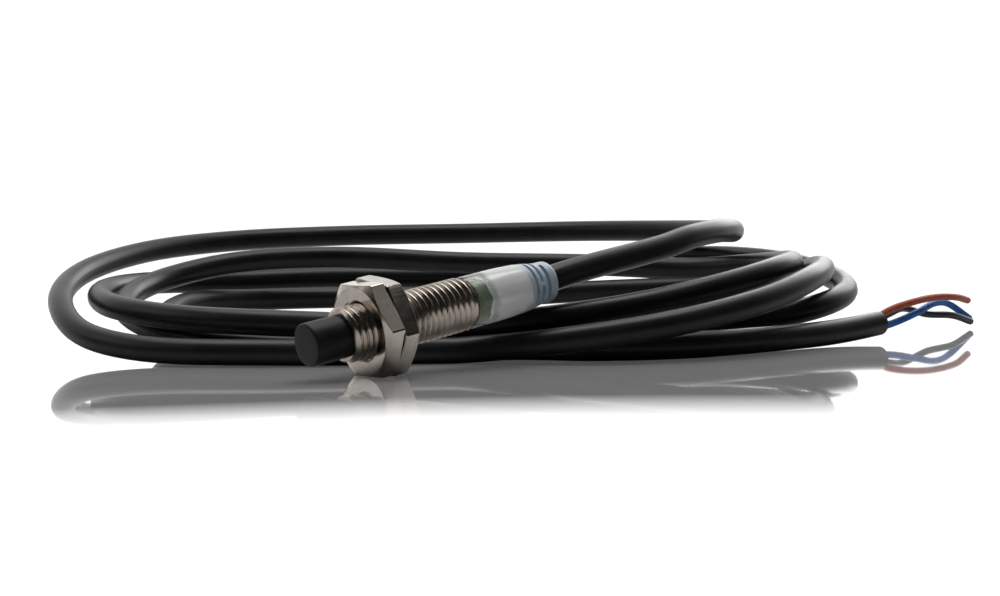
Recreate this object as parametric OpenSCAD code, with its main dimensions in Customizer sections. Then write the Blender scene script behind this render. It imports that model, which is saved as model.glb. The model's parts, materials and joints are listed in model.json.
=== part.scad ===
// Tubular inductive proximity sensor, M8 x 1, with two hexagon nuts and a
// three-core cable that lies in loose loops behind it.
// The sensor's axis lies in the XZ plane, sensing face toward -X. It leans on
// its cable, so the axis rises toward +X. Z = 0 is the surface it lies on, and
// the origin is under the middle of the sensor without its cable.
// Along the axis, s = 0 is the front nut's front face and s grows to the rear.

/* [Barrel] */
// Outside diameter over the thread crests
thread_d = 7.9; // [7.86:0.02:7.94]
// Length of the threaded barrel
barrel_len = 21.6; // [21:0.2:26]
// Thread pitch
pitch = 1; // [1]
// Length of thread in front of the front nut
front_thread = 3.2; // [2.6:0.2:5]

/* [Sensing cap] */
// Outside diameter of the sensing cap
nose_d = 6.1; // [6.02:0.02:6.12]
// Length of the sensing cap that stands out of the barrel
nose_len = 5.6; // [5:0.1:8]

/* [Nuts] */
// Width across the flats
nut_af = 13; // [12.6:0.1:13.4]
// Thickness of each nut
nut_t = 2.7; // [2.3:0.1:2.7]
// Gap between the two nuts
nut_gap = 0.05; // [0.02:0.01:0.1]
// How far the rear nut is turned from the front one
rear_nut_turn = 7.5; // [0:0.5:29]

/* [Rear end] */
// Diameter of the clear end cap at the barrel
cap_d = 7.7; // [7.6:0.05:7.8]
// Diameter of the clear end cap at the strain relief
cap_rear_d = 7.3; // [7.2:0.05:7.4]
// Length of the clear end cap behind the barrel
cap_len = 10.3; // [10:0.1:12]
// Diameter of the strain relief ring at the end cap
relief_d = 7.2; // [7:0.05:7.2]
// Diameter of the strain relief ring where the cable comes out
relief_rear_d = 6.2; // [6.2:0.05:6.6]
// Length of the strain relief ring
relief_len = 5.6; // [5.4:0.1:7]

/* [Cable] */
// Diameter of the jacket
cable_d = 4; // [3.8:0.05:4]
// Diameter of one core
core_d = 1; // [0.9:0.05:1]
// Height of the coil where it passes under the strain relief
coil_front_h = 7.3; // [6:0.1:7.3]
// Height of the coil at the back
coil_back_h = 14.4; // [12:0.1:15]

/* [Pose] */
// Angle by which the sensor's axis rises toward the cable
tilt = 9.2; // [9.2]
// Angle between the sensor's axis and the length of the coil
coil_turn = 38.3; // [38.3]

/* [Hidden] */
$fn = 64;
eps = 0.01;

// stations along the axis
s_rim = -front_thread;
s_face = s_rim - nose_len;
s_barrel = s_rim + barrel_len;
s_cap = s_barrel + cap_len;
s_exit = s_cap + relief_len;
s_rear_nut = nut_t + nut_gap;

// barrel and thread
crest_r = thread_d / 2;
root_r = crest_r - 0.56;
bore_r = 3.08;
rim_chamfer = 0.4;
crest_half = 0.06;
root_half = 0.1;

// plugs at both ends of the barrel
plug_gap = 0.03;
nose_r = nose_d / 2;
nose_wall = 0.4;
nose_face_t = 0.5;
nose_round = 0.35;
nose_insert = 4.7;
nose_in_r = nose_r - nose_wall;
spigot_len = 3;
spigot_r = bore_r - plug_gap;
spigot_in_r = 2.7;
cap_r = cap_d / 2;
cap_rear_r = cap_rear_d / 2;
cap_wall = 0.5;
cap_straight = 6.6;

// oscillator coil behind the sensing face
core_r = 2.6;
core_t = 3;
s_core = s_face + nose_face_t + 0.05;
s_core_back = s_core + core_t;
post_r = 1.1;
channel_r = 2.05;
channel_depth = 2.25;
spool_r = 1.15;
spool_wall = 0.2;
spool_out_r = 2;
lead_r = 0.1;
lead_hole_r = 0.2;
lead_y = 1.6;

// board and what is on it
board_w = 5;
board_head_w = 6.2;
board_t = 0.8;
s_board = s_core_back + 1.65;
s_board_end = s_barrel + 3.6;
s_board_head = s_barrel + 0.2;
foot = [0.3, 0.4, 0.3];
chip = [3, 2, 0.9];
s_chip = -1.5;
chip_feet = 4;
chip_foot_pitch = 0.75;
transistor = [1.6, 1.4, 0.9];
s_transistor = 9;
transistor_foot_pitch = 0.9;
diode = [1.8, 1.2, 0.8];
diode_foot = [0.3, 0.8, 0.3];
s_diode = 12.4;
resistor = [1, 0.6, 0.35];
s_resistors = 4;
resistor_z = 1.1;
capacitor = [1, 0.6, 0.5];
s_capacitors = -1.6;
small_part_pitch = 2.2;
led = [0.8, 1, 0.6];
s_leds = s_barrel + 0.5;
led_z = -1.6;
joint = [0.7, 1, 0.7];

// cable end inside the cap
s_jacket = s_barrel + 6.2;
cable_r = cable_d / 2;
wire_r = core_d / 2;
wire_y = board_t / 2 + wire_r;
wire_z = 0.65;
s_wire_end = s_board_end - 1.6;
s_crimp = s_jacket + 0.3;
crimp_len = 1.5;
crimp_r = 2.5;
s_filler = s_barrel + 2.6;
relief_r = relief_d / 2;
relief_rear_r = relief_rear_d / 2;
relief_bore_r = 2.04;
relief_spigot_r = 2.7;
relief_spigot_len = 1.8;
relief_round = 0.5;
// slots: [distance from the cap, width, depth, first angle, sweep], angles about
// the axis from the underside, positive toward +Y
relief_slots = [[0.9, 0.5, 0.5, 190, 130], [2.1, 0.5, 0.5, 170, 88], [2.1, 0.5, 0.5, 270, 50],
                [3.4, 0.6, 0.9, 205, 105], [0.9, 0.5, 0.5, 10, 130], [2.1, 0.5, 0.5, 30, 90],
                [3.4, 0.6, 0.9, 20, 110]];

// nuts
nut_r = nut_af / 2 / cos(30);
nut_bore_r = crest_r + 0.1;
nut_sink_r = 4.45;
nut_sink_t = 0.4;
nut_face_r = nut_af / 2 - 0.2;
nut_corner_t = 0.3;
corner_slack = 0.2;

// where the sensor stands: the front nut's lower edge is on the surface
axis_h = nut_af / 2 * cos(tilt);
x_low = s_face * cos(tilt) - nose_r * sin(tilt);
x_high = s_exit * cos(tilt) + (relief_rear_r - relief_round) * sin(tilt);
nut_x = -(x_low + x_high) / 2;

// The cable's points are in the coil's own frame: origin under s = 0, X along
// the coil's length, turned by coil_turn from the sensor's axis.
// exit_run: distances along the sensor's axis that the cable keeps straight
exit_run = [s_jacket, s_jacket + 3.5, s_cap + 1, s_exit, 39];
s_bend = 46;
// the first, highest loop: out to a tight bend on the right, round the back
// and down to the surface in front
lead_points = [[45.5, 37.2, 16.2], [50.6, 43, 17.6], [56.2, 52, 18.3], [60, 63, 18],
               [60.2, 76, 17.6], [53.5, 92, 17.4], [36, 108.5, 17.2], [13, 116, 16.9],
               [-12, 112, 16.9], [-32, 100, 16.5], [-45.5, 83, 15.2], [-52.8, 63, 12.3],
               [-52.3, 45, 8.6], [-45.6, 31, 4.4], [-34.5, 22.7, 2.5]];
// the jacket's end beyond the coil
tail_points = [[70, 35.5, 2.5], [76, 40.6, 2.8], [82, 46, 3.2]];
// the three cores beyond the jacket, from the jacket's end to their tips
brown_points = [[82, 46, 4], [84.5, 48.6, 5], [89.5, 53.5, 6.2], [94.5, 59, 7],
                [99, 64, 6.6], [103, 70.5, 5.3]];
blue_points = [[82.5, 45.5, 2.6], [85.5, 49.5, 2.8], [90, 54.5, 3.4], [94.5, 61, 5],
               [98, 66, 4.6], [103.4, 72, 1.5]];
black_points = [[81.5, 46.5, 3.2], [84.5, 50.5, 4.1], [88, 55.5, 4.6], [93, 60.2, 3.2],
                [98.5, 64.6, 2.6], [103, 69.6, 1.1]];
lead_steps = 2;
lead_sides = 10;
core_steps = 2;
core_sides = 8;

// the coil's outline from above: two ovals, and a heap-shaped section
coil_out = [15.4, 60, 65, 44.6];
coil_in = [13.6, 56.4, 53, 27.7];
coil_square = 0.9;
coil_count = 40;
heap_side = 0.4;
heap_slope = 0.25;

// ---- helpers ----

// places children, drawn with z along the axis, at distance s
module on_axis(s) {
    translate([nut_x, 0, axis_h])
        rotate([0, -tilt, 0])
            translate([s, 0, 0])
                rotate([0, 90, 0])
                    children();
}

// places children, drawn with x along the axis and z up, at distance s
module in_sensor(s) {
    translate([nut_x, 0, axis_h])
        rotate([0, -tilt, 0])
            translate([s, 0, 0])
                children();
}

module in_coil() {
    translate([nut_x, 0, 0])
        rotate([0, 0, -coil_turn])
            children();
}

module ring(r_out, r_in, len) {
    difference() {
        cylinder(r = r_out, h = len);
        translate([0, 0, -eps])
            cylinder(r = r_in, h = len + 2 * eps);
    }
}

// a box of size [length, width, height] that stands on the board with its front
// end at s and its middle at z: side -1 is the face toward -Y
module on_board(side, s, z, size) {
    in_sensor(s)
        translate([0, side > 0 ? board_t / 2 : -board_t / 2 - size[2], z - size[1] / 2])
            cube([size[0], size[2], size[1]]);
}

// a straight round rod from a to b
module rod(a, b, r) {
    v = b - a;
    translate(a)
        rotate([0, acos(v[2] / norm(v)), atan2(v[1], v[0])])
            cylinder(r = r, h = norm(v), $fn = 24);
}

// smooth curve through points: a cubic through each span
function past(p, i) = i < 0 ? 2 * p[0] - p[1]
    : i >= len(p) ? 2 * p[len(p) - 1] - p[len(p) - 2] : p[i];
function cubic(a, b, c, d, t) =
    0.5 * (2 * b + (c - a) * t + (2 * a - 5 * b + 4 * c - d) * t * t
    + (3 * b - a - 3 * c + d) * t * t * t);
function smooth(p, steps) = concat(
    [for (i = [0 : len(p) - 2], k = [0 : steps - 1])
        cubic(past(p, i - 1), p[i], past(p, i + 1), past(p, i + 2), k / steps)],
    [p[len(p) - 1]]);
function unit(v) = v / norm(v);
function heading(p, i) = unit(past(p, i + 1) - past(p, i - 1));
function across(p, i) = unit(cross([0, 0, 1], heading(p, i)));

// a round tube swept along points
module tube(p, r, sides) {
    rings = len(p);
    corners = [for (i = [0 : rings - 1], k = [0 : sides - 1])
        let (side = across(p, i), up = cross(heading(p, i), side), a = 360 * k / sides)
        p[i] + r * (cos(a) * side + sin(a) * up)];
    walls = [for (i = [0 : rings - 2], k = [0 : sides - 1])
        let (n = (k + 1) % sides)
        [i * sides + k, (i + 1) * sides + k, (i + 1) * sides + n, i * sides + n]];
    start = [[for (k = [0 : sides - 1]) k]];
    end = [[for (k = [sides - 1 : -1 : 0]) (rings - 1) * sides + k]];
    polyhedron(points = corners, faces = concat(walls, start, end), convexity = 8);
}

// a point of the sensor's axis in the coil's frame
function axis_point(s) = [s * cos(tilt) * cos(coil_turn), s * cos(tilt) * sin(coil_turn),
                          axis_h + s * sin(tilt)];
function power(v, e) = sign(v) * pow(abs(v), e);
function oval(o, a) = [o[0] + o[2] * power(cos(a), coil_square),
                       o[1] + o[3] * power(sin(a), coil_square)];
function coil_h(a) = coil_front_h + (coil_back_h - coil_front_h) * (1 + sin(a)) / 2;
// corners of the coil's section at angle a, as [share of the way in, share of the height]
heap = [[0, 0], [0, heap_side], [heap_slope, 1], [1 - heap_slope, 1], [1, heap_side], [1, 0]];

// ---- sensing end ----

module sensing_cap() {
    arc = [for (a = [0 : 15 : 90])
        [nose_r - nose_round + nose_round * sin(a), nose_round - nose_round * cos(a)]];
    tube_len = nose_len + nose_insert;
    color("#26272a")
        on_axis(s_face)
            rotate_extrude()
                polygon(concat([[0, 0]], arc, [[nose_r, tube_len], [nose_in_r, tube_len],
                               [nose_in_r, nose_face_t], [0, nose_face_t]]));
}

module ferrite_core() {
    color("#3c3a3a")
        on_axis(s_core)
            difference() {
                cylinder(r = core_r, h = core_t);
                translate([0, 0, -eps])
                    ring(channel_r, post_r, channel_depth + eps);
                for (side = [-1, 1])
                    translate([0, side * lead_y, 0])
                        cylinder(r = lead_hole_r, h = core_t + eps, $fn = 24);
            }
}

module coil_bobbin() {
    spool_len = channel_depth - 0.1;
    color("#e9dfc4")
        on_axis(s_core + 0.05)
            difference() {
                union() {
                    ring(spool_r + spool_wall, spool_r, spool_len);
                    ring(spool_out_r, spool_r, spool_wall);
                    translate([0, 0, spool_len - spool_wall])
                        ring(spool_out_r, spool_r, spool_wall);
                }
                for (side = [-1, 1])
                    translate([0, side * lead_y, spool_len / 2])
                        cylinder(r = lead_hole_r, h = spool_len, $fn = 24);
            }
}

module coil_winding() {
    spool_len = channel_depth - 0.1;
    color("#b5651d")
        on_axis(s_core + 0.05 + spool_wall + 0.02)
            ring(spool_out_r - 0.05, spool_r + spool_wall + 0.02, spool_len - 2 * spool_wall - 0.04);
}

module coil_leads() {
    s_start = s_core + channel_depth - 0.05 - spool_wall - 0.02;
    s_bend = s_core_back + 1;
    s_end = s_board + 1;
    board_y = board_t / 2 + lead_r;
    color("#c87533")
        in_sensor(0)
            for (side = [-1, 1]) {
                rod([s_start, side * lead_y, 0], [s_bend, side * lead_y, 0], lead_r);
                rod([s_bend - lead_r, side * (lead_y + eps), 0], [s_end, side * board_y, 0], lead_r);
            }
}

module front_resin() {
    color("#5b5248")
        on_axis(s_core_back + 0.05)
            difference() {
                cylinder(r = core_r, h = 0.8);
                for (side = [-1, 1])
                    translate([0, side * lead_y, -eps])
                        cylinder(r = lead_hole_r, h = 1, $fn = 24);
            }
}

// ---- electronics ----

module circuit_board() {
    color("#5f7a4a")
        in_sensor(0)
            union() {
                translate([s_board, -board_t / 2, -board_w / 2])
                    cube([s_board_end - s_board, board_t, board_w]);
                translate([s_board_head, -board_t / 2, -board_head_w / 2])
                    cube([s_board_end - s_board_head, board_t, board_head_w]);
            }
}

module oscillator_ic() {
    color("#222222") {
        on_board(-1, s_chip, 0, chip);
        for (k = [0 : chip_feet - 1], side = [-1, 1])
            on_board(-1, s_chip + 0.25 + chip_foot_pitch * k, side * (chip[1] + foot[1]) / 2, foot);
    }
}

module output_transistor() {
    foot_z = (transistor[1] + foot[1]) / 2;
    s_foot = s_transistor + 0.2;
    color("#242424") {
        on_board(1, s_transistor, 0, transistor);
        for (k = [0, 1])
            on_board(1, s_foot + transistor_foot_pitch * k, -foot_z, foot);
        on_board(1, s_foot + transistor_foot_pitch / 2, foot_z, foot);
    }
}

module protection_diode() {
    color("#303030") {
        on_board(1, s_diode, 0, diode);
        on_board(1, s_diode - diode_foot[0], 0, diode_foot);
        on_board(1, s_diode + diode[0], 0, diode_foot);
    }
}

module smd_resistors() {
    color("#1f2023")
        for (k = [0 : 2], side = [-1, 1])
            on_board(-1, s_resistors + small_part_pitch * k, side * resistor_z, resistor);
}

module smd_capacitors() {
    color("#b79a6a")
        for (k = [0 : 3])
            on_board(1, s_capacitors + small_part_pitch * k, 0, capacitor);
}

module indicator_leds() {
    color("#e8c65a")
        for (side = [-1, 1])
            on_board(side, s_leds, led_z, led);
}

// ends of the three cores on the board: [side, z]
wire_seats = [[-1, wire_z], [-1, -wire_z], [1, 0]];

module solder_joints() {
    color("#c4c6c8")
        for (seat = wire_seats)
            on_board(seat[0], s_wire_end - joint[0] - 0.05, seat[1], joint);
}

module inner_core(seat, tint) {
    color(tint)
        in_sensor(0)
            rod([s_wire_end, seat[0] * wire_y, seat[1]], [s_jacket, seat[0] * wire_y, seat[1]], wire_r);
}

module inner_brown_core() {
    inner_core(wire_seats[0], "#6b3f2a");
}

module inner_blue_core() {
    inner_core(wire_seats[1], "#3f7fb8");
}

module inner_black_core() {
    inner_core(wire_seats[2], "#1c1c1e");
}

// ---- rear end ----

module end_cap() {
    color("#dfe6e4", 0.45)
        on_axis(s_barrel)
            rotate_extrude()
                polygon([[spigot_r, -spigot_len], [spigot_r, 0.02], [cap_r - 0.1, 0.02], [cap_r, 0.15],
                         [cap_r, cap_straight], [cap_rear_r, cap_len - 0.02],
                         [relief_spigot_r + 0.02, cap_len - 0.02],
                         [cap_rear_r - cap_wall, cap_len - relief_spigot_len - 0.1],
                         [cap_r - cap_wall, cap_straight], [cap_r - cap_wall, 0.5],
                         [spigot_in_r, 0], [spigot_in_r, -spigot_len]]);
}

module cap_filler() {
    gap = 0.03;
    z_front = s_filler - s_barrel;
    z_straight = cap_straight;
    z_back = cap_len - relief_spigot_len - 0.2;
    z_crimp = s_jacket - s_barrel;
    r_wide = cap_r - cap_wall - gap;
    r_back = cap_rear_r - cap_wall - gap;
    hole_r = wire_r + gap;
    color("#f1f1ee")
        difference() {
            on_axis(s_barrel)
                rotate_extrude()
                    polygon([[0, z_front], [r_wide, z_front], [r_wide, z_straight - 0.02],
                             [r_back, z_back], [crimp_r + gap, z_back], [crimp_r + gap, z_crimp],
                             [0, z_crimp]]);
            in_sensor(s_filler - 1)
                translate([0, -board_t / 2 - gap, -board_head_w / 2 - gap])
                    cube([s_board_end - s_filler + 1 + gap, board_t + 2 * gap, board_head_w + 2 * gap]);
            for (seat = wire_seats)
                in_sensor(s_filler - 1)
                    translate([0, seat[0] * wire_y, seat[1]])
                        rotate([0, 90, 0])
                            cylinder(r = hole_r, h = cap_len, $fn = 24);
        }
}

module crimp_ring() {
    color("#b9bcc0")
        on_axis(s_crimp)
            ring(crimp_r, cable_r + plug_gap, crimp_len);
}

// a slot part of the way round the tapered ring, open to the outside
module relief_slot(z, width, depth, from, sweep) {
    outside = relief_r + (relief_rear_r - relief_r) * z / relief_len;
    translate([0, 0, z])
        rotate([0, 0, from])
            rotate_extrude(angle = sweep)
                translate([outside - depth, 0])
                    square([depth + 1, width]);
}

module strain_relief() {
    arc = [for (a = [0 : 15 : 90])
        [relief_rear_r - relief_round + relief_round * cos(a),
         relief_len - relief_round + relief_round * sin(a)]];
    color("#b7c4cf")
        on_axis(s_cap)
            difference() {
                rotate_extrude()
                    polygon(concat([[relief_bore_r, -relief_spigot_len],
                                    [relief_spigot_r, -relief_spigot_len],
                                    [relief_spigot_r, 0], [relief_r - 0.1, 0], [relief_r, 0.1]],
                                   arc, [[relief_bore_r, relief_len]]));
                for (k = relief_slots)
                    relief_slot(k[0], k[1], k[2], k[3], k[4]);
            }
}

// ---- barrel and nuts ----

module barrel() {
    grooves = floor((barrel_len - 0.8) / pitch);
    first = (barrel_len - (grooves - 1) * pitch) / 2;
    slope_half = pitch / 2 - crest_half;
    profile = concat(
        [[bore_r, 0], [crest_r - rim_chamfer, 0], [crest_r, 0.12]],
        [for (k = [0 : grooves - 1], step = [[crest_r, -slope_half], [root_r, -root_half],
                                             [root_r, root_half], [crest_r, slope_half]])
            [step[0], first + k * pitch + step[1]]],
        [[crest_r, barrel_len - 0.12], [crest_r - rim_chamfer, barrel_len], [bore_r, barrel_len]]);
    color("#b3a99c")
        on_axis(s_rim)
            rotate_extrude()
                polygon(profile);
}

module hex_nut() {
    slope = nut_corner_t / (nut_r - nut_face_r);
    far_r = nut_r + corner_slack;
    far_t = nut_corner_t + corner_slack * slope;
    difference() {
        intersection() {
            cylinder(r = nut_r, h = nut_t, $fn = 6);
            rotate_extrude()
                polygon([[0, 0], [nut_face_r, 0], [far_r, far_t], [far_r, nut_t - far_t],
                         [nut_face_r, nut_t], [0, nut_t]]);
        }
        rotate_extrude()
            polygon([[0, -eps], [nut_sink_r, -eps], [nut_bore_r, nut_sink_t],
                     [nut_bore_r, nut_t - nut_sink_t], [nut_sink_r, nut_t + eps], [0, nut_t + eps]]);
    }
}

module front_nut() {
    color("#c9c0b4")
        on_axis(0)
            rotate([0, 0, 30])
                hex_nut();
}

module rear_nut() {
    color("#c2b8ab")
        on_axis(s_rear_nut)
            rotate([0, 0, 30 + rear_nut_turn])
                hex_nut();
}

// ---- cable ----

module cable_lead() {
    straight = [for (s = exit_run) axis_point(s)];
    color("#232325")
        in_coil()
            tube(concat(straight, smooth(concat([axis_point(s_bend)], lead_points), lead_steps)),
                 cable_r, lead_sides);
}

// a closed band round the coil's middle that holds its turns
module cable_coil() {
    sides = len(heap);
    corners = [for (i = [0 : coil_count - 1], k = [0 : sides - 1])
        let (a = 360 * i / coil_count, o = oval(coil_out, a), n = oval(coil_in, a))
        let (q = o + (n - o) * heap[k][0])
        [q[0], q[1], heap[k][1] * coil_h(a)]];
    faces = [for (i = [0 : coil_count - 1], k = [0 : sides - 1])
        let (j = (i + 1) % coil_count, n = (k + 1) % sides)
        [i * sides + k, j * sides + k, j * sides + n, i * sides + n]];
    color("#232325")
        in_coil()
            polyhedron(points = corners, faces = faces, convexity = 8);
}

module cable_tail() {
    color("#232325")
        in_coil()
            tube(smooth(tail_points, 1), cable_r, lead_sides);
}

module free_core(points, tint) {
    color(tint)
        in_coil()
            tube(smooth(points, core_steps), wire_r, core_sides);
}

module brown_core() {
    free_core(brown_points, "#8a5a45");
}

module blue_core() {
    free_core(blue_points, "#4f8fc4");
}

module black_core() {
    free_core(black_points, "#1c1c1e");
}

barrel();
sensing_cap();
ferrite_core();
coil_bobbin();
coil_winding();
coil_leads();
front_resin();
circuit_board();
oscillator_ic();
output_transistor();
protection_diode();
smd_resistors();
smd_capacitors();
indicator_leds();
solder_joints();
inner_brown_core();
inner_blue_core();
inner_black_core();
cap_filler();
end_cap();
crimp_ring();
strain_relief();
front_nut();
rear_nut();
cable_lead();
cable_coil();
cable_tail();
brown_core();
blue_core();
black_core();
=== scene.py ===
import json
import math

import bmesh
import bpy
import numpy as np
from mathutils import Matrix, Vector

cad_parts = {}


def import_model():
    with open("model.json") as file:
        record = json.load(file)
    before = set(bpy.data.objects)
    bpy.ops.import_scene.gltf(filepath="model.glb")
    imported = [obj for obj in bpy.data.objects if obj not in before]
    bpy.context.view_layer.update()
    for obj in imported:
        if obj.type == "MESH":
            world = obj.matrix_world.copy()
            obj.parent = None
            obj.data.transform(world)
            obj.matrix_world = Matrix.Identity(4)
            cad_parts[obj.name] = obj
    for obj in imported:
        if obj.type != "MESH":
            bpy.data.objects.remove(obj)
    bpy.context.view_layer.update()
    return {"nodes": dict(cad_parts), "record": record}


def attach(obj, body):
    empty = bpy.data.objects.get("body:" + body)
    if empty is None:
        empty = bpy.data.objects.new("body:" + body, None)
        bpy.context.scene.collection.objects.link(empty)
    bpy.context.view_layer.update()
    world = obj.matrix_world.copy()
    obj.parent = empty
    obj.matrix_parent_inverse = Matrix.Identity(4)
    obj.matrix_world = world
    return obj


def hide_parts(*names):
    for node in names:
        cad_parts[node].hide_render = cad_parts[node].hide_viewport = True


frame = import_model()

MM = 0.001
NODES = frame["nodes"]
MOUNTS = {m["name"]: m for m in frame["record"]["mounts"]}

# ---- where things are -----------------------------------------------------
# Distances along the sensor's axis are s, and s = 0 is the front nut's front face.
S_FACE = -8.8 * MM
S_RIM = -3.2 * MM
S_BARREL = 18.4 * MM
S_CAP = 28.7 * MM
S_EXIT = 34.3 * MM
S_REAR_NUT = 2.75 * MM
AXIS = -Vector(MOUNTS["sensing_face"]["axis"]).normalized()
ACROSS = Vector((0, 1, 0))
DOWN = ACROSS.cross(AXIS)
ZERO = Vector(MOUNTS["sensing_face"]["pos_m"]) - AXIS * S_FACE
# a sensor point (x down, y across, z along the axis) in the row frame
SENSOR = Matrix((
    (DOWN.x, ACROSS.x, AXIS.x, ZERO.x),
    (DOWN.y, ACROSS.y, AXIS.y, ZERO.y),
    (DOWN.z, ACROSS.z, AXIS.z, ZERO.z),
    (0, 0, 0, 1),
))
# the cable's own frame: under s = 0 on the floor, turned from the sensor's axis
COIL_TURN = math.radians(38.3)
COIL = Matrix.Translation((ZERO.x, ZERO.y, 0)) @ Matrix.Rotation(-COIL_TURN, 4, "Z")


def along(s):
    """The point of the sensor's axis at s, in the row frame."""
    return ZERO + AXIS * s


# ---- camera ---------------------------------------------------------------
# in the cable's own frame: place in metres, angles in radians, lens and sensor in mm
CAM_PLACE = Vector((0.0196, -0.2488, 0.02596))
CAM_PITCH = 0.061
CAM_ROLL = -0.015
CAM_LENS = 64.8
CAM_SENSOR = 36
CAM_CLIP = (0.005, 20)


def add_camera():
    ahead = Vector((0, math.cos(CAM_PITCH), -math.sin(CAM_PITCH)))
    side = Vector((1, 0, 0))
    up = side.cross(ahead)
    right = side * math.cos(CAM_ROLL) + up * math.sin(CAM_ROLL)
    up = up * math.cos(CAM_ROLL) - side * math.sin(CAM_ROLL)
    turn = Matrix((right, up, -ahead)).transposed().to_4x4()
    data = bpy.data.cameras.new("camera")
    data.lens = CAM_LENS
    data.sensor_width = CAM_SENSOR
    data.clip_start, data.clip_end = CAM_CLIP
    camera = bpy.data.objects.new("camera", data)
    bpy.context.scene.collection.objects.link(camera)
    camera.matrix_world = COIL @ Matrix.Translation(CAM_PLACE) @ turn
    bpy.context.scene.camera = camera


# ---- materials ------------------------------------------------------------
def material(name):
    mat = bpy.data.materials.new(name)
    mat.use_nodes = True
    tree = mat.node_tree
    return mat, tree.nodes, tree.links, tree.nodes["Principled BSDF"]


def noise_node(nodes, links, vector, scale, detail=3, rough=0.55):
    noise = nodes.new("ShaderNodeTexNoise")
    noise.inputs["Scale"].default_value = scale
    noise.inputs["Detail"].default_value = detail
    noise.inputs["Roughness"].default_value = rough
    links.new(vector, noise.inputs["Vector"])
    return noise.outputs["Fac"]


def ramp_node(nodes, links, fac, stops):
    ramp = nodes.new("ShaderNodeValToRGB")
    points = ramp.color_ramp.elements
    while len(points) < len(stops):
        points.new(0.5)
    for point, (place, color) in zip(points, stops):
        point.position = place
        point.color = (*color, 1)
    links.new(fac, ramp.inputs["Fac"])
    return ramp.outputs["Color"]


def range_node(nodes, links, value, low, high, start=0.3, end=0.7):
    remap = nodes.new("ShaderNodeMapRange")
    remap.inputs["From Min"].default_value = start
    remap.inputs["From Max"].default_value = end
    remap.inputs["To Min"].default_value = low
    remap.inputs["To Max"].default_value = high
    links.new(value, remap.inputs["Value"])
    return remap.outputs["Result"]


def bump_node(nodes, links, height, strength, distance, normal=None):
    bump = nodes.new("ShaderNodeBump")
    bump.inputs["Strength"].default_value = strength
    bump.inputs["Distance"].default_value = distance
    links.new(height, bump.inputs["Height"])
    if normal is not None:
        links.new(normal, bump.inputs["Normal"])
    return bump.outputs["Normal"]


GLOSS_SPREAD = 0.08


def surface(name, dark, light, rough, grain, bump=0.2, depth=0.02 * MM, metallic=0.0,
            blotch=350, **sockets):
    """A finish with blotches between two colours, grain as bump and uneven gloss."""
    mat, nodes, links, shader = material(name)
    vector = nodes.new("ShaderNodeTexCoord").outputs["Object"]
    patches = noise_node(nodes, links, vector, blotch)
    color = ramp_node(nodes, links, patches, [(0.3, dark), (0.7, light)])
    links.new(color, shader.inputs["Base Color"])
    fine = noise_node(nodes, links, vector, grain, 4)
    gloss = range_node(nodes, links, patches, rough - GLOSS_SPREAD / 2, rough + GLOSS_SPREAD / 2)
    links.new(gloss, shader.inputs["Roughness"])
    links.new(bump_node(nodes, links, fine, bump, depth), shader.inputs["Normal"])
    shader.inputs["Metallic"].default_value = metallic
    for key, value in sockets.items():
        shader.inputs[key.replace("_", " ")].default_value = value
    return mat


def sensor_place(nodes, links):
    """Shading coordinates in the sensor's frame, with z along its axis."""
    coords = nodes.new("ShaderNodeTexCoord")
    mapping = nodes.new("ShaderNodeMapping")
    mapping.vector_type = "TEXTURE"
    mapping.inputs["Location"].default_value = ZERO
    mapping.inputs["Rotation"].default_value = SENSOR.to_euler()
    links.new(coords.outputs["Object"], mapping.inputs["Vector"])
    return mapping.outputs["Vector"]


TURNED_SCALE = 1400
TURNED_WOBBLE = 1.2
TARNISH_SCALE = 420
METAL_GRAIN = 5200
METAL_DEPTH = 0.01 * MM
METAL_GLOSS = (0.75, 1.35)


def metal_machined(name, dark, light, rough):
    """Nickel with fine turned rings about the sensor's axis and faint tarnish."""
    mat, nodes, links, shader = material(name)
    vector = sensor_place(nodes, links)
    rings = nodes.new("ShaderNodeTexWave")
    rings.wave_type = "RINGS"
    rings.rings_direction = "Z"
    rings.inputs["Scale"].default_value = TURNED_SCALE
    rings.inputs["Distortion"].default_value = TURNED_WOBBLE
    rings.inputs["Detail"].default_value = 3
    links.new(vector, rings.inputs["Vector"])
    patches = noise_node(nodes, links, vector, TARNISH_SCALE)
    fine = noise_node(nodes, links, vector, METAL_GRAIN, 4)
    color = ramp_node(nodes, links, patches, [(0.25, dark), (0.65, light)])
    links.new(color, shader.inputs["Base Color"])
    gloss = range_node(nodes, links, patches, *[rough * k for k in METAL_GLOSS])
    links.new(gloss, shader.inputs["Roughness"])
    normal = bump_node(nodes, links, rings.outputs["Fac"], 0.12, METAL_DEPTH)
    links.new(bump_node(nodes, links, fine, 0.15, METAL_DEPTH, normal), shader.inputs["Normal"])
    shader.inputs["Metallic"].default_value = 1
    return mat


MILK_START = S_BARREL + 2.7 * MM
MILK_END = S_BARREL + 4.0 * MM
MILK_UNEVEN = 1.2 * MM
MILK_MOST = 0.8
SHELL_COLOR = (0.66, 0.67, 0.655, 1)
SEE_THROUGH_COLOR = (0.95, 0.97, 0.96, 1)


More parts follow.
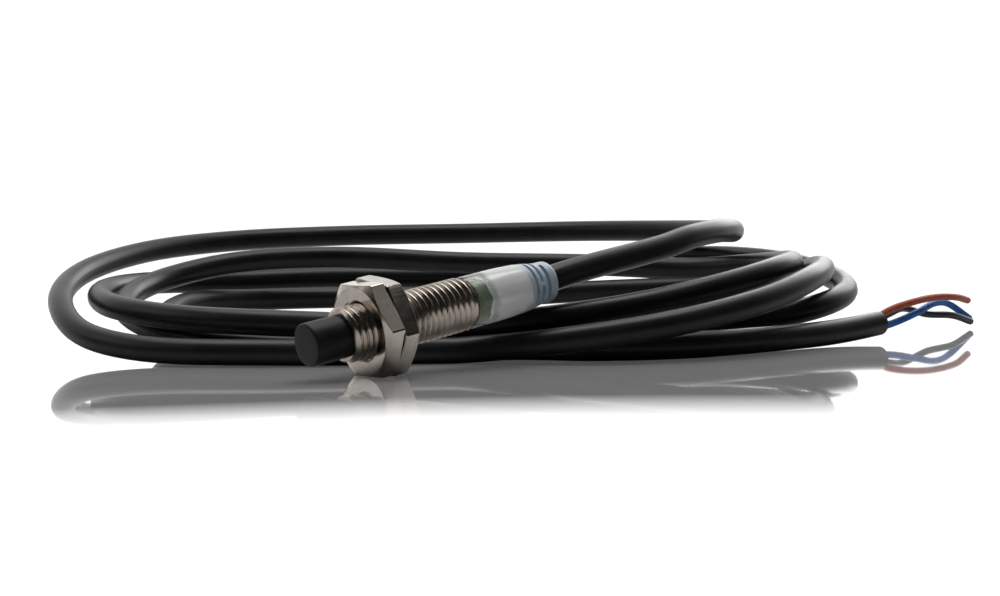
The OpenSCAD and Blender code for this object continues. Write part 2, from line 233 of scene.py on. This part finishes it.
def clear_plastic():
    """A thin wall: see-through over the board, then milky from the potting's edge to the ring."""
    mat, nodes, links, shader = material("clear_shell")
    vector = sensor_place(nodes, links)
    fine = noise_node(nodes, links, vector, 900, 2)
    parts = nodes.new("ShaderNodeSeparateXYZ")
    links.new(vector, parts.inputs[0])
    uneven = nodes.new("ShaderNodeMath")
    uneven.operation = "MULTIPLY_ADD"
    uneven.inputs[1].default_value = MILK_UNEVEN
    links.new(fine, uneven.inputs[0])
    links.new(parts.outputs["Z"], uneven.inputs[2])
    milk = range_node(nodes, links, uneven.outputs[0], 0, MILK_MOST,
                      MILK_START + MILK_UNEVEN / 2, MILK_END + MILK_UNEVEN / 2)
    links.new(bump_node(nodes, links, fine, 0.15, 0.02 * MM), shader.inputs["Normal"])
    links.new(range_node(nodes, links, fine, 0.10, 0.2), shader.inputs["Roughness"])
    shader.inputs["Base Color"].default_value = SHELL_COLOR
    see = nodes.new("ShaderNodeBsdfTransparent")
    see.inputs["Color"].default_value = SEE_THROUGH_COLOR
    layer = nodes.new("ShaderNodeLayerWeight")
    layer.inputs["Blend"].default_value = 0.5
    mix = nodes.new("ShaderNodeMixShader")
    most = nodes.new("ShaderNodeMath")
    most.operation = "MAXIMUM"
    links.new(range_node(nodes, links, layer.outputs["Facing"], 0.06, 0.6, 0.3, 1), most.inputs[0])
    links.new(milk, most.inputs[1])
    links.new(most.outputs[0], mix.inputs["Fac"])
    links.new(see.outputs[0], mix.inputs[1])
    links.new(shader.outputs[0], mix.inputs[2])
    links.new(mix.outputs[0], nodes["Material Output"].inputs["Surface"])
    return mat


MATS = {
    "nickel": metal_machined("nickel", (0.26, 0.22, 0.185), (0.42, 0.37, 0.32), 0.2),
    "nut_nickel": metal_machined("nut_nickel", (0.32, 0.285, 0.245), (0.46, 0.42, 0.37), 0.15),
    "black_cap": surface("black_cap", (0.006, 0.006, 0.0065), (0.011, 0.011, 0.012), 0.45, 6000, 0.25,
                         Specular_IOR_Level=0.12),
    "ferrite": surface("ferrite", (0.05, 0.048, 0.048), (0.10, 0.095, 0.09), 0.7, 4000, 0.4),
    "bobbin_plastic": surface("bobbin_plastic", (0.70, 0.60, 0.42), (0.82, 0.74, 0.56), 0.45, 4000),
    "copper": surface("copper", (0.55, 0.22, 0.09), (0.80, 0.38, 0.18), 0.25, 5000, metallic=1),
    "resin": surface("resin", (0.10, 0.08, 0.06), (0.20, 0.16, 0.12), 0.2, 800),
    "board_green": surface("board_green", (0.05, 0.10, 0.03), (0.13, 0.20, 0.07), 0.4, 2500, 0.3, blotch=900),
    "chip_black": surface("chip_black", (0.015, 0.015, 0.016), (0.03, 0.03, 0.032), 0.55, 7000, 0.3),
    "resistor_body": surface("resistor_body", (0.02, 0.02, 0.024), (0.06, 0.06, 0.07), 0.3, 3000),
    "capacitor_body": surface("capacitor_body", (0.36, 0.25, 0.13), (0.55, 0.42, 0.26), 0.45, 4000),
    "led_body": surface("led_body", (0.80, 0.55, 0.12), (0.92, 0.75, 0.30), 0.2, 2000),
    "solder": surface("solder", (0.55, 0.56, 0.58), (0.80, 0.81, 0.82), 0.25, 1500, metallic=1),
    "core_brown": surface("core_brown", (0.24, 0.045, 0.017), (0.34, 0.068, 0.028), 0.5, 5000,
                          Specular_IOR_Level=0.1),
    "core_blue": surface("core_blue", (0.001, 0.075, 0.28), (0.003, 0.11, 0.38), 0.5, 5000,
                         Specular_IOR_Level=0.1),
    "core_black": surface("core_black", (0.006, 0.006, 0.007), (0.012, 0.012, 0.014), 0.4, 5000,
                          Specular_IOR_Level=0.25),
    "filler_white": surface("filler_white", (0.74, 0.76, 0.76), (0.88, 0.89, 0.88), 0.5, 900, 0.3,
                            Subsurface_Weight=0.4, Subsurface_Scale=0.001),
    "clear_shell": clear_plastic(),
    "board_seen": surface("board_seen", (0.015, 0.052, 0.014), (0.135, 0.16, 0.06), 0.3, 2500, 0.3,
                          blotch=900),
    "ring_steel": surface("ring_steel", (0.42, 0.42, 0.43), (0.6, 0.6, 0.61), 0.3, 3000, metallic=1),
    "relief_plastic": surface("relief_plastic", (0.27, 0.335, 0.395), (0.345, 0.415, 0.475), 0.42, 3500,
                              0.25),
    "jacket": surface("jacket", (0.006, 0.006, 0.0068), (0.011, 0.011, 0.012), 0.36, 2600, 0.1,
                      depth=0.010 * MM, blotch=120, Specular_IOR_Level=0.18),
}


# ---- mesh helpers ---------------------------------------------------------
MERGE_DIST = 1e-7
AXIS_R = 1e-9  # a ring this thin closes on the axis


def finish_mesh(name, bm, slot, body, place=None, sharp=35):
    bmesh.ops.remove_doubles(bm, verts=bm.verts, dist=MERGE_DIST)
    bmesh.ops.dissolve_degenerate(bm, edges=bm.edges, dist=MERGE_DIST)
    bmesh.ops.recalc_face_normals(bm, faces=bm.faces)
    mesh = bpy.data.meshes.new(name)
    bm.to_mesh(mesh)
    bm.free()
    if place is not None:
        mesh.transform(place)
    mesh.shade_smooth()
    mesh.set_sharp_from_angle(angle=math.radians(sharp))
    piece = bpy.data.objects.new(name, mesh)
    bpy.context.scene.collection.objects.link(piece)
    mesh.materials.append(MATS[slot])
    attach(piece, body)
    return piece


def skin(bm, rows, shift=0, close=False):
    """Faces between rows of points that go round. The last column meets the first one shift rows on."""
    grid = [[bm.verts.new(p) for p in row] for row in rows]
    count = len(rows[0])
    pairs = list(zip(range(len(grid) - 1), range(1, len(grid))))
    if close:
        pairs.append((len(grid) - 1, 0))
    for a, b in pairs:
        for j in range(count):
            if j < count - 1:
                corners = (grid[a][j], grid[a][j + 1], grid[b][j + 1], grid[b][j])
            else:
                if not close and b + shift >= len(grid):
                    continue
                corners = (grid[a][j], grid[(a + shift) % len(grid)][0],
                           grid[(b + shift) % len(grid)][0], grid[b][j])
            bm.faces.new(corners)


def ring_of(r, z, count):
    return [(r * math.cos(a), r * math.sin(a), z)
            for a in np.linspace(0, 2 * math.pi, count, endpoint=False)]


def revolve(name, profile, slot, body, count=96, sharp=35):
    """A closed outline of (radius, s) turned about the sensor's axis."""
    bm = bmesh.new()
    skin(bm, [ring_of(max(r, AXIS_R), z, count) for r, z in profile], close=True)
    return finish_mesh(name, bm, slot, body, SENSOR, sharp=sharp)


def arc(center_r, center_z, radius, start, end, steps=5):
    return [(center_r + radius * math.cos(math.radians(a)), center_z + radius * math.sin(math.radians(a)))
            for a in np.linspace(start, end, steps)]


# ---- barrel ---------------------------------------------------------------
CREST_R = 3.95 * MM
ROOT_R = 3.39 * MM
BORE_R = 3.08 * MM
RIM_R = 3.55 * MM
PITCH = 1.0 * MM
THREAD_STEPS = ((-0.44, 1.0), (-0.40, 0.96), (-0.12, 0.06), (-0.06, 0.0), (0.06, 0.0),
                (0.12, 0.06), (0.40, 0.96), (0.44, 1.0))
RUN_OUT = 0.4 * MM


def ease(t):
    t = min(max(t, 0.0), 1.0)
    return t * t * (3 - 2 * t)


def barrel():
    count = 120
    turns = range(-2, round((S_BARREL - S_RIM) / PITCH) + 3)
    rows = []
    for k in turns:
        for offset, height in THREAD_STEPS:
            row = []
            for j in range(count):
                a = 2 * math.pi * j / count
                z = S_RIM + (k + j / count + 0.5 + offset) * PITCH
                inside = min(z - S_RIM, S_BARREL - z)
                z = min(max(z, S_RIM), S_BARREL)
                r = ROOT_R + (CREST_R - ROOT_R) * height
                r = RIM_R + (r - RIM_R) * ease(inside / RUN_OUT)
                row.append((r * math.cos(a), r * math.sin(a), z))
            rows.append(row)
    bm = bmesh.new()
    skin(bm, rows, shift=len(THREAD_STEPS))
    skin(bm, [ring_of(RIM_R, S_RIM, count), ring_of(BORE_R, S_RIM, count),
              ring_of(BORE_R, S_BARREL, count), ring_of(RIM_R, S_BARREL, count)])
    piece = finish_mesh("barrel_threaded", bm, "nickel", "sensor", SENSOR, sharp=50)
    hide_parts("barrel")


# ---- nuts -----------------------------------------------------------------
NUT_HALF = 6.5 * MM
NUT_T = 2.7 * MM
NUT_BORE_R = 4.05 * MM
NUT_SINK_R = 4.45 * MM
NUT_SINK_T = 0.4 * MM
NUT_FACE_R = 6.2 * MM
NUT_SLOPE = 0.45
NUT_FLAT_SLOPE = 0.05
NUT_EDGE = 70
NUT_BREAK = 0.05 * MM
NUT_SINK_BREAK = 0.04 * MM
REAR_NUT_TURN = math.radians(7.5)


def hex_radius(a):
    """Radius of a hexagon with slightly rounded corners; flats at a = 0, 60 ... degrees."""
    total = sum(abs(math.cos(a - k * math.pi / 3)) ** NUT_EDGE for k in range(3))
    return NUT_HALF / total ** (1 / NUT_EDGE)


def nut(name, node, start, turn, front_slope, rear_slope):
    """A hexagon nut from s = start. A slope is how far its corners are turned down on that side."""
    count = 360
    angles = [2 * math.pi * j / count for j in range(count)]
    shape = [hex_radius(a) for a in angles]

    def row(radius, z):
        return [(radius(r) * math.cos(a + turn), radius(r) * math.sin(a + turn), start + z(r))
                for a, r in zip(angles, shape)]

    def face(r, slope):
        return min(NUT_FACE_R, r - 0.04 * MM) if slope > NUT_FLAT_SLOPE else r - 0.08 * MM

    def drop(r, slope):
        return max((r - NUT_FACE_R) * slope, NUT_BREAK)

    rows = [
        row(lambda r: NUT_BORE_R, lambda r: NUT_SINK_T),
        row(lambda r: NUT_SINK_R, lambda r: 0.03 * MM),
        row(lambda r: NUT_SINK_R + NUT_SINK_BREAK, lambda r: 0),
        row(lambda r: face(r, front_slope), lambda r: 0),
        row(lambda r: r - 0.02 * MM, lambda r: drop(r, front_slope) - 0.01 * MM),
        row(lambda r: r, lambda r: drop(r, front_slope) + NUT_BREAK),
        row(lambda r: r, lambda r: NUT_T - drop(r, rear_slope) - NUT_BREAK),
        row(lambda r: r - 0.02 * MM, lambda r: NUT_T - drop(r, rear_slope) + 0.01 * MM),
        row(lambda r: face(r, rear_slope), lambda r: NUT_T),
        row(lambda r: NUT_SINK_R + NUT_SINK_BREAK, lambda r: NUT_T),
        row(lambda r: NUT_SINK_R, lambda r: NUT_T - 0.03 * MM),
        row(lambda r: NUT_BORE_R, lambda r: NUT_T - NUT_SINK_T),
    ]
    bm = bmesh.new()
    skin(bm, rows, close=True)
    piece = finish_mesh(name, bm, "nut_nickel", node, SENSOR, sharp=16)
    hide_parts(node)


# ---- sensing end ----------------------------------------------------------
NOSE_R = 3.05 * MM
NOSE_ROUND = 0.3 * MM
NOSE_END = 1.5 * MM
NOSE_IN_R = 2.65 * MM
NOSE_FACE_T = 0.5 * MM


def sensing_cap():
    edge = arc(NOSE_R - NOSE_ROUND, S_FACE + NOSE_ROUND, NOSE_ROUND, -90, 0, 7)
    profile = [(0, S_FACE), (1.5 * MM, S_FACE)] + edge + [
        (NOSE_R, NOSE_END), (NOSE_IN_R, NOSE_END),
        (NOSE_IN_R, S_FACE + NOSE_FACE_T), (0, S_FACE + NOSE_FACE_T)]
    piece = revolve("nose_cap", profile, "black_cap", "sensor")
    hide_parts("sensing_cap")


# ---- rear end -------------------------------------------------------------
CAP_R = 3.85 * MM
CAP_REAR_R = 3.65 * MM
CAP_STRAIGHT = S_BARREL + 5.6 * MM
CAP_WALL = 0.5 * MM
SPIGOT_R = 3.05 * MM
SPIGOT_IN_R = 2.7 * MM
SPIGOT_LEN = 3 * MM
FILLER_EDGE = S_BARREL + 3.0 * MM
JACKET_END = S_BARREL + 6.2 * MM


def cap_radius(z):
    """Outside radius of the clear cap at s = z: straight, then a gentle taper."""
    t = max(z - CAP_STRAIGHT, 0) / (S_CAP - CAP_STRAIGHT)
    return CAP_R + (CAP_REAR_R - CAP_R) * t ** 1.6


def end_cap():
    outside = [(cap_radius(z), z) for z in np.linspace(S_BARREL + 0.25 * MM, S_CAP - 0.05 * MM, 24)]
    inside = [(cap_radius(z) - CAP_WALL, z)
              for z in np.linspace(S_CAP - 1.9 * MM, S_BARREL + 0.5 * MM, 20)]
    profile = [(SPIGOT_R, S_BARREL - SPIGOT_LEN), (SPIGOT_R, S_BARREL + 0.02 * MM),
               (CAP_R - 0.12 * MM, S_BARREL + 0.03 * MM), (CAP_R - 0.03 * MM, S_BARREL + 0.1 * MM)]
    profile += outside + [(2.73 * MM, S_CAP - 0.03 * MM)] + inside
    profile += [(SPIGOT_IN_R, S_BARREL), (SPIGOT_IN_R, S_BARREL - SPIGOT_LEN)]
    piece = revolve("cap_clear", profile, "clear_shell", "sensor", sharp=40)
    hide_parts("end_cap")


# waves round the potting's edge, as (height in mm, waves in a turn, phase)
FILLER_WAVES = ((0.32, 1, 0.6), (0.22, 3, 1.1), (0.12, 7, 0.4))
FILLER_FACE = (0.0, 0.55, 0.9, 0.985)
FILLER_DOME = 0.35 * MM


def filler_edge(a):
    """The potting's uneven front edge at angle a round the axis."""
    wave = sum(height * math.sin(count * a + phase) for height, count, phase in FILLER_WAVES)
    return FILLER_EDGE + wave * MM


def cap_filler():
    count = 120
    gap = 0.02 * MM
    back = S_CAP - 2 * MM
    rear = S_CAP - 0.1 * MM
    angles = [2 * math.pi * j / count for j in range(count)]
    rows = []
    for share in FILLER_FACE:
        r = share * (CAP_R - CAP_WALL)
        rows.append([(r * math.cos(a), r * math.sin(a), filler_edge(a) + FILLER_DOME * (1 - share))
                     for a in angles])
    for t in np.linspace(0, 1, 18):
        row = []
        for a in angles:
            front = filler_edge(a) + 0.08 * MM
            z = front + (rear - front) * t
            r = cap_radius(z) - CAP_WALL - gap
            row.append((r * math.cos(a), r * math.sin(a), z))
        rows.append(row)
    rows.append(ring_of(2.75 * MM, rear, count))
    rows.append(ring_of(2.75 * MM, back, count))
    rows.append(ring_of(2.55 * MM, back, count))
    rows.append(ring_of(2.55 * MM, JACKET_END, count))
    rows.append(ring_of(AXIS_R, JACKET_END, count))
    bm = bmesh.new()
    skin(bm, rows)
    piece = finish_mesh("cap_potting", bm, "filler_white", "sensor", SENSOR, sharp=50)
    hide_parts("cap_filler")


WINDOW_R = 3.3 * MM
WINDOW_IN_R = 3.12 * MM
WINDOW_END = S_BARREL + 3.6 * MM


def cap_window():
    """Resin round the board's green head, seen through the clear cap in front of the white potting."""
    start = S_BARREL + 0.6 * MM
    profile = [(WINDOW_IN_R, start), (WINDOW_R - 0.1 * MM, start), (WINDOW_R, start + 0.1 * MM),
               (WINDOW_R, WINDOW_END), (WINDOW_IN_R, WINDOW_END)]
    revolve("cap_window_resin", profile, "board_seen", "sensor")


RELIEF_R = 3.6 * MM
RELIEF_REAR_R = 3.1 * MM
RELIEF_BORE_R = 2.04 * MM
RELIEF_SPIGOT_R = 2.7 * MM
RELIEF_SPIGOT_LEN = 1.8 * MM
RELIEF_ROUND = 0.5 * MM
# slots round the ring: (distance from the cap, width, depth, first angle, sweep) in mm and degrees
RELIEF_SLOTS = (
    (0.9, 0.5, 0.5, 190, 130), (2.1, 0.5, 0.5, 170, 88), (2.1, 0.5, 0.5, 270, 50),
    (3.4, 0.6, 0.9, 205, 105), (0.9, 0.5, 0.5, 10, 130), (2.1, 0.5, 0.5, 30, 90),
    (3.4, 0.6, 0.9, 20, 110),
)
SLOT_EDGE = 0.1


def relief_radius(z):
    """Outside radius of the strain relief at z mm behind the cap."""
    rounding = RELIEF_ROUND / MM
    length = (S_EXIT - S_CAP) / MM
    r = (RELIEF_R + (RELIEF_REAR_R - RELIEF_R) * min(ease(z / length * 1.3), 1)) / MM
    if z > length - rounding:
        r = r - rounding + math.sqrt(max(rounding ** 2 - (z - length + rounding) ** 2, 0))
    return r


def slot_depth(z, a):
    deepest = 0
    for start, width, depth, first, sweep in RELIEF_SLOTS:
        turn = (math.degrees(a) - first) % 360
        if turn > sweep + 8:
            turn -= 360
        ends = ease((turn + 2) / 4) * ease((sweep + 2 - turn) / 4)
        side = ease((z - start) / SLOT_EDGE + 0.5) * ease((start + width - z) / SLOT_EDGE + 0.5)
        deepest = max(deepest, depth * ends * side)
    return deepest


def strain_relief():
    count = 240
    length = (S_EXIT - S_CAP) / MM
    zs = sorted(set([0, 0.05, 0.1, 0.15] + list(np.round(np.arange(0.2, length - 0.5, 0.05), 3))
                    + [length - 0.5 * (1 - math.sin(math.radians(b))) for b in range(0, 91, 10)]))
    rows = [ring_of(RELIEF_BORE_R, S_CAP - RELIEF_SPIGOT_LEN, count),
            ring_of(RELIEF_SPIGOT_R, S_CAP - RELIEF_SPIGOT_LEN, count),
            ring_of(RELIEF_SPIGOT_R, S_CAP, count)]
    for z in zs:
        row = []
        for j in range(count):
            a = 2 * math.pi * j / count
            r = (relief_radius(z) - slot_depth(z, a)) * MM
            row.append((r * math.cos(a), r * math.sin(a), S_CAP + z * MM))
        rows.append(row)
    rows.append(ring_of(2.3 * MM, S_EXIT, count))
    rows.append(ring_of(RELIEF_BORE_R + 0.03 * MM, S_EXIT - 0.12 * MM, count))
    rows.append(ring_of(RELIEF_BORE_R, S_EXIT - 0.4 * MM, count))
    bm = bmesh.new()
    skin(bm, rows, close=True)
    piece = finish_mesh("relief_ring", bm, "relief_plastic", "sensor", SENSOR, sharp=40)
    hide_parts("strain_relief")


# ---- cable ----------------------------------------------------------------
CABLE_D = 4.0 * MM
CORE_D = 1.2 * MM
# where the cable leaves the relief ring, as (s, lift above the axis)
EXIT_RUN = ((33 * MM, 0), (38 * MM, 0.35 * MM), (44 * MM, 0.45 * MM))
# Route points in the cable's own frame, in metres.
LEAD_POINTS = (
    (0.0455, 0.0372, 0.0162), (0.0506, 0.0430, 0.0176), (0.0562, 0.0520, 0.0183), (0.0600, 0.0630, 0.0180),
    (0.0602, 0.0760, 0.0176), (0.0535, 0.0920, 0.0174), (0.0360, 0.1085, 0.0172), (0.0130, 0.1160, 0.0169),
    (-0.0120, 0.1120, 0.0169), (-0.0320, 0.1000, 0.0165), (-0.0455, 0.0830, 0.0152),
    (-0.0528, 0.0630, 0.0123), (-0.0523, 0.0450, 0.0086), (-0.0456, 0.0310, 0.0044),
    (-0.0345, 0.0227, 0.0025),
)
TAIL_POINTS = (
    (0.0240, 0.0216, 0.0020), (0.0340, 0.0182, 0.0020), (0.0470, 0.0199, 0.0020), (0.0580, 0.0265, 0.0020),
    (0.0700, 0.0355, 0.0021), (0.0760, 0.0406, 0.0024), (0.0816, 0.0457, 0.0029),
)
# The turns are ovals about COIL_MIDDLE. u counts quarter turns from the front, anticlockwise from above:
# odd u is the right or left end and even u the front or back. Each list gives (u, value) in mm, with
# straight changes between: half the coil's length, half its width, and the height of the middle line.
COIL_MIDDLE = (13.0, 57.0)
COIL_SQUARE = 0.9
HALF_LENGTH = ((-1, 66.8), (1, 60.7), (3, 50), (5, 65.4), (7, 60.9), (9, 55.8), (11, 56.6))
HALF_WIDTH = (
    (-0.5, 45), (0, 39.5), (0.2, 44), (0.33, 47.5), (0.5, 45), (0.7, 41), (1, 40), (2, 39), (3.3, 29),
    (4, 29.4), (4.6, 28), (5, 36), (6, 45), (7.4, 39.5), (8, 36.8), (10, 29), (11.3, 37), (12, 34.3),
)
TURN_HEIGHT = (
    (-0.5, 2.2), (0, 2), (0.1, 2.4), (0.25, 4.8), (0.5, 8), (0.7, 11), (1, 11.7), (1.25, 8.8), (1.5, 7.1),
    (1.75, 6.1), (2, 5), (2.25, 5.7), (2.5, 6.1), (2.75, 6.5), (3, 5.4), (3.25, 3.4), (3.5, 2), (4, 2),
    (4.5, 4.2), (5, 8.2), (5.4, 13.2), (5.75, 11.2), (6, 8.8), (6.25, 9.2), (6.5, 9.2), (6.75, 9.8), (7, 9.4),
    (7.5, 6.8), (8, 5.3), (8.1, 5.6), (8.3, 8), (8.5, 10.4), (8.75, 12.6), (9, 12.7), (9.5, 10.8),
    (10, 12.2), (10.25, 13.6), (10.5, 13.1), (10.75, 10.8), (11, 8.3), (11.2, 6.4), (11.5, 3.2), (11.7, 2),
    (12, 2),
)
# the part of the turns that the lead's points don't cover, in quarter turns
FIRST_QUARTER = -0.25
LAST_QUARTER = 12
QUARTER_STEP = 0.25


def between(table, u):
    return float(np.interp(u, [k for k, _ in table], [v for _, v in table]))


def turn_point(u):
    a = math.radians(90 * u - 90)
    c, s = math.cos(a), math.sin(a)
    x = COIL_MIDDLE[0] + between(HALF_LENGTH, u) * math.copysign(abs(c) ** COIL_SQUARE, c)
    y = COIL_MIDDLE[1] + between(HALF_WIDTH, u) * math.copysign(abs(s) ** COIL_SQUARE, s)
    return Vector((x, y, between(TURN_HEIGHT, u))) * MM


def smooth_line(points, steps):
    """A centripetal Catmull-Rom curve through the points."""
    p = [np.array(v, float) for v in points]
    p = [2 * p[0] - p[1]] + p + [2 * p[-1] - p[-2]]
    line = []
    for p0, p1, p2, p3 in zip(p, p[1:], p[2:], p[3:]):
        t1 = np.linalg.norm(p1 - p0) ** 0.5
        t2 = t1 + np.linalg.norm(p2 - p1) ** 0.5
        t3 = t2 + np.linalg.norm(p3 - p2) ** 0.5
        for t in np.linspace(t1, t2, steps, endpoint=False):
            a1 = p0 + (p1 - p0) * t / t1
            a2 = p1 + (p2 - p1) * (t - t1) / (t2 - t1)
            a3 = p2 + (p3 - p2) * (t - t2) / (t3 - t2)
            b1 = a1 + (a2 - a1) * t / t2
            b2 = a2 + (a3 - a2) * (t - t1) / (t3 - t1)
            line.append(Vector(b1 + (b2 - b1) * (t - t1) / (t2 - t1)))
    line.append(Vector(p[-2]))
    return line


def cord_curve(name, line, diameter, slot, rounds=6):
    data = bpy.data.curves.new(name, "CURVE")
    data.dimensions = "3D"
    data.bevel_depth = diameter / 2
    data.bevel_resolution = rounds
    data.use_fill_caps = True
    spline = data.splines.new("POLY")
    spline.points.add(len(line) - 1)
    for point, place in zip(spline.points, line):
        point.co = (*place, 1)
    spline.use_smooth = True
    data.materials.append(MATS[slot])
    piece = bpy.data.objects.new(name, data)
    bpy.context.scene.collection.objects.link(piece)
    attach(piece, "sensor")
    return piece


# cores beyond the jacket, from the jacket's end to their tips, in the cable's own frame
CORES = {
    "brown_core": ("core_brown", (
        (0.0812, 0.0456, 0.0037), (0.0842, 0.0484, 0.0049), (0.0895, 0.0535, 0.0059),
        (0.0945, 0.0590, 0.0062), (0.0990, 0.0640, 0.0058), (0.1027, 0.0705, 0.0048))),
    "blue_core": ("core_blue", (
        (0.0814, 0.0450, 0.0022), (0.0850, 0.0490, 0.0027), (0.0900, 0.0545, 0.0039),
        (0.0945, 0.0610, 0.0050), (0.0980, 0.0660, 0.0046), (0.1034, 0.0720, 0.0015))),
    "black_core": ("core_black", (
        (0.0808, 0.0457, 0.0030), (0.0845, 0.0505, 0.0041), (0.0880, 0.0555, 0.0046),
        (0.0930, 0.0602, 0.0032), (0.0985, 0.0646, 0.0026), (0.1030, 0.0696, 0.0011))),
}


def cable():
    points = [along(s) + Vector((0, 0, lift)) for s, lift in EXIT_RUN]
    points += [COIL @ Vector(p) for p in LEAD_POINTS]
    for u in np.arange(FIRST_QUARTER, LAST_QUARTER + QUARTER_STEP / 2, QUARTER_STEP):
        points.append(COIL @ turn_point(u))
    points += [COIL @ Vector(p) for p in TAIL_POINTS]
    line = smooth_line(points, 6)
    for place in line:
        place.z = max(place.z, CABLE_D / 2)
    jacket = cord_curve("cable", line, CABLE_D, "jacket", 8)
    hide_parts("cable_lead", "cable_coil", "cable_tail")
    for name, (slot, route) in CORES.items():
        core = cord_curve(name + "_end", smooth_line([COIL @ Vector(p) for p in route], 8), CORE_D, slot, 5)
        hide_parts(name)


# ---- floor and light ------------------------------------------------------
# the glow is for the camera only, so the metal mirrors a dimmer floor
FLOOR_HALF = 4
FLOOR_GLOW = 0.5
FLOOR_SHADE = 0.6
FLOOR_MIRROR = 0.88
# the floor mirrors only at a glance: from 7.4 degrees above it (none) to 6.6 degrees (in full)
MIRROR_FACING = (0.871, 0.885)


def floor():
    bm = bmesh.new()
    bmesh.ops.create_grid(bm, x_segments=2, y_segments=2, size=FLOOR_HALF)
    mesh = bpy.data.meshes.new("floor")
    bm.to_mesh(mesh)
    bm.free()
    mat = bpy.data.materials.new("floor")
    mat.use_nodes = True
    nodes, links = mat.node_tree.nodes, mat.node_tree.links
    nodes.clear()
    out = nodes.new("ShaderNodeOutputMaterial")
    mix = nodes.new("ShaderNodeMixShader")
    base = nodes.new("ShaderNodeBsdfDiffuse")
    base.inputs["Color"].default_value = (*[FLOOR_SHADE] * 3, 1)
    gloss = nodes.new("ShaderNodeBsdfGlossy")
    gloss.inputs["Color"].default_value = (0.97, 0.97, 0.97, 1)
    gloss.inputs["Roughness"].default_value = 0.03
    layer = nodes.new("ShaderNodeLayerWeight")
    glow = nodes.new("ShaderNodeEmission")
    path = nodes.new("ShaderNodeLightPath")
    strength = range_node(nodes, links, path.outputs["Is Camera Ray"], 0, FLOOR_GLOW, 0, 1)
    links.new(strength, glow.inputs["Strength"])
    lit = nodes.new("ShaderNodeAddShader")
    links.new(base.outputs[0], lit.inputs[0])
    links.new(glow.outputs[0], lit.inputs[1])
    mirror = range_node(nodes, links, layer.outputs["Facing"], 0, FLOOR_MIRROR, *MIRROR_FACING)
    links.new(mirror, mix.inputs["Fac"])
    links.new(lit.outputs[0], mix.inputs[1])
    links.new(gloss.outputs[0], mix.inputs[2])
    links.new(mix.outputs[0], out.inputs["Surface"])
    mesh.materials.append(mat)
    plane = bpy.data.objects.new("floor", mesh)
    bpy.context.scene.collection.objects.link(plane)


BACKDROP = 1.9
STUDIO_BRIGHT = 1.5
STUDIO_DARK = 0.03
STUDIO_FADE = (0.1, 0.85)
STUDIO_AHEAD = (-0.1, 0.97, 0.22)


def world():
    """A white room: bright beyond the object, dimmer on the side that the photograph was taken from."""
    sky = bpy.data.worlds.new("studio")
    bpy.context.scene.world = sky
    sky.use_nodes = True
    nodes, links = sky.node_tree.nodes, sky.node_tree.links
    nodes.clear()
    out = nodes.new("ShaderNodeOutputWorld")
    coords = nodes.new("ShaderNodeTexCoord")
    dot = nodes.new("ShaderNodeVectorMath")
    dot.operation = "DOT_PRODUCT"
    ahead = COIL.to_3x3() @ Vector(STUDIO_AHEAD)
    dot.inputs[1].default_value = ahead.normalized()
    links.new(coords.outputs["Generated"], dot.inputs[0])
    shade = range_node(nodes, links, dot.outputs["Value"], STUDIO_DARK, STUDIO_BRIGHT, *STUDIO_FADE)
    lit = nodes.new("ShaderNodeBackground")
    links.new(shade, lit.inputs["Strength"])
    white = nodes.new("ShaderNodeBackground")
    white.inputs["Strength"].default_value = BACKDROP
    path = nodes.new("ShaderNodeLightPath")
    mix = nodes.new("ShaderNodeMixShader")
    links.new(path.outputs["Is Camera Ray"], mix.inputs["Fac"])
    links.new(lit.outputs[0], mix.inputs[1])
    links.new(white.outputs[0], mix.inputs[2])
    links.new(mix.outputs[0], out.inputs["Surface"])


def softbox(name, place, target, size, power):
    data = bpy.data.lights.new(name, "AREA")
    data.shape = "RECTANGLE"
    data.size, data.size_y = size
    data.energy = power
    light = bpy.data.objects.new(name, data)
    bpy.context.scene.collection.objects.link(light)
    place, target = COIL @ Vector(place), COIL @ Vector(target)
    turn = (target - place).to_track_quat("-Z", "Y").to_matrix().to_4x4()
    light.matrix_world = Matrix.Translation(place) @ turn


# softboxes in the cable's own frame: name, place, what it points at, size in metres, watts
SOFTBOXES = (
    ("top_light", (0.0, 0.12, 0.5), (0.01, 0.04, 0), (0.5, 0.3), 2.4),
    ("left_light", (-0.5, -0.05, 0.3), (0.01, 0.04, 0), (0.3, 0.3), 0.35),
    ("right_light", (0.30, 0.53, 0.28), (0.06, 0.06, 0.01), (0.4, 0.3), 1.5),
)
# the front nut's upper flat, as a direction in the sensor's frame
NUT_CARD_FLAT = (-0.5, -0.8660254, 0)
CARD_FAR = 0.25
CARD_SIZE = 0.09
CARD_POWER = 0.0072


def lights():
    for box in SOFTBOXES:
        softbox(*box)
    # a dim card that only the front nut's upper flat mirrors toward the camera
    normal = COIL.to_3x3().inverted() @ SENSOR.to_3x3() @ Vector(NUT_CARD_FLAT)
    nut_place = COIL.inverted() @ (along(NUT_T / 2) + SENSOR.to_3x3() @ Vector(NUT_CARD_FLAT) * NUT_HALF)
    toward = (CAM_PLACE - nut_place).normalized()
    mirrored = normal * 2 * normal.dot(toward) - toward
    softbox("nut_card", nut_place + mirrored * CARD_FAR, nut_place, (CARD_SIZE, CARD_SIZE), CARD_POWER)


# ---- build ----------------------------------------------------------------
add_camera()
cable()
barrel()
nut("front_nut_shape", "front_nut", 0.0, 0.0, NUT_SLOPE, NUT_FLAT_SLOPE)
nut("rear_nut_shape", "rear_nut", S_REAR_NUT, REAR_NUT_TURN, NUT_FLAT_SLOPE, NUT_SLOPE)
sensing_cap()
end_cap()
cap_filler()
cap_window()
strain_relief()
for row in frame["record"]["subparts"]:
    node = NODES[row["node"]]
    node.data.materials.clear()
    node.data.materials.append(MATS[row["material_slot"]])
floor()
world()
lights()
bpy.context.scene.view_settings.view_transform = "Standard"
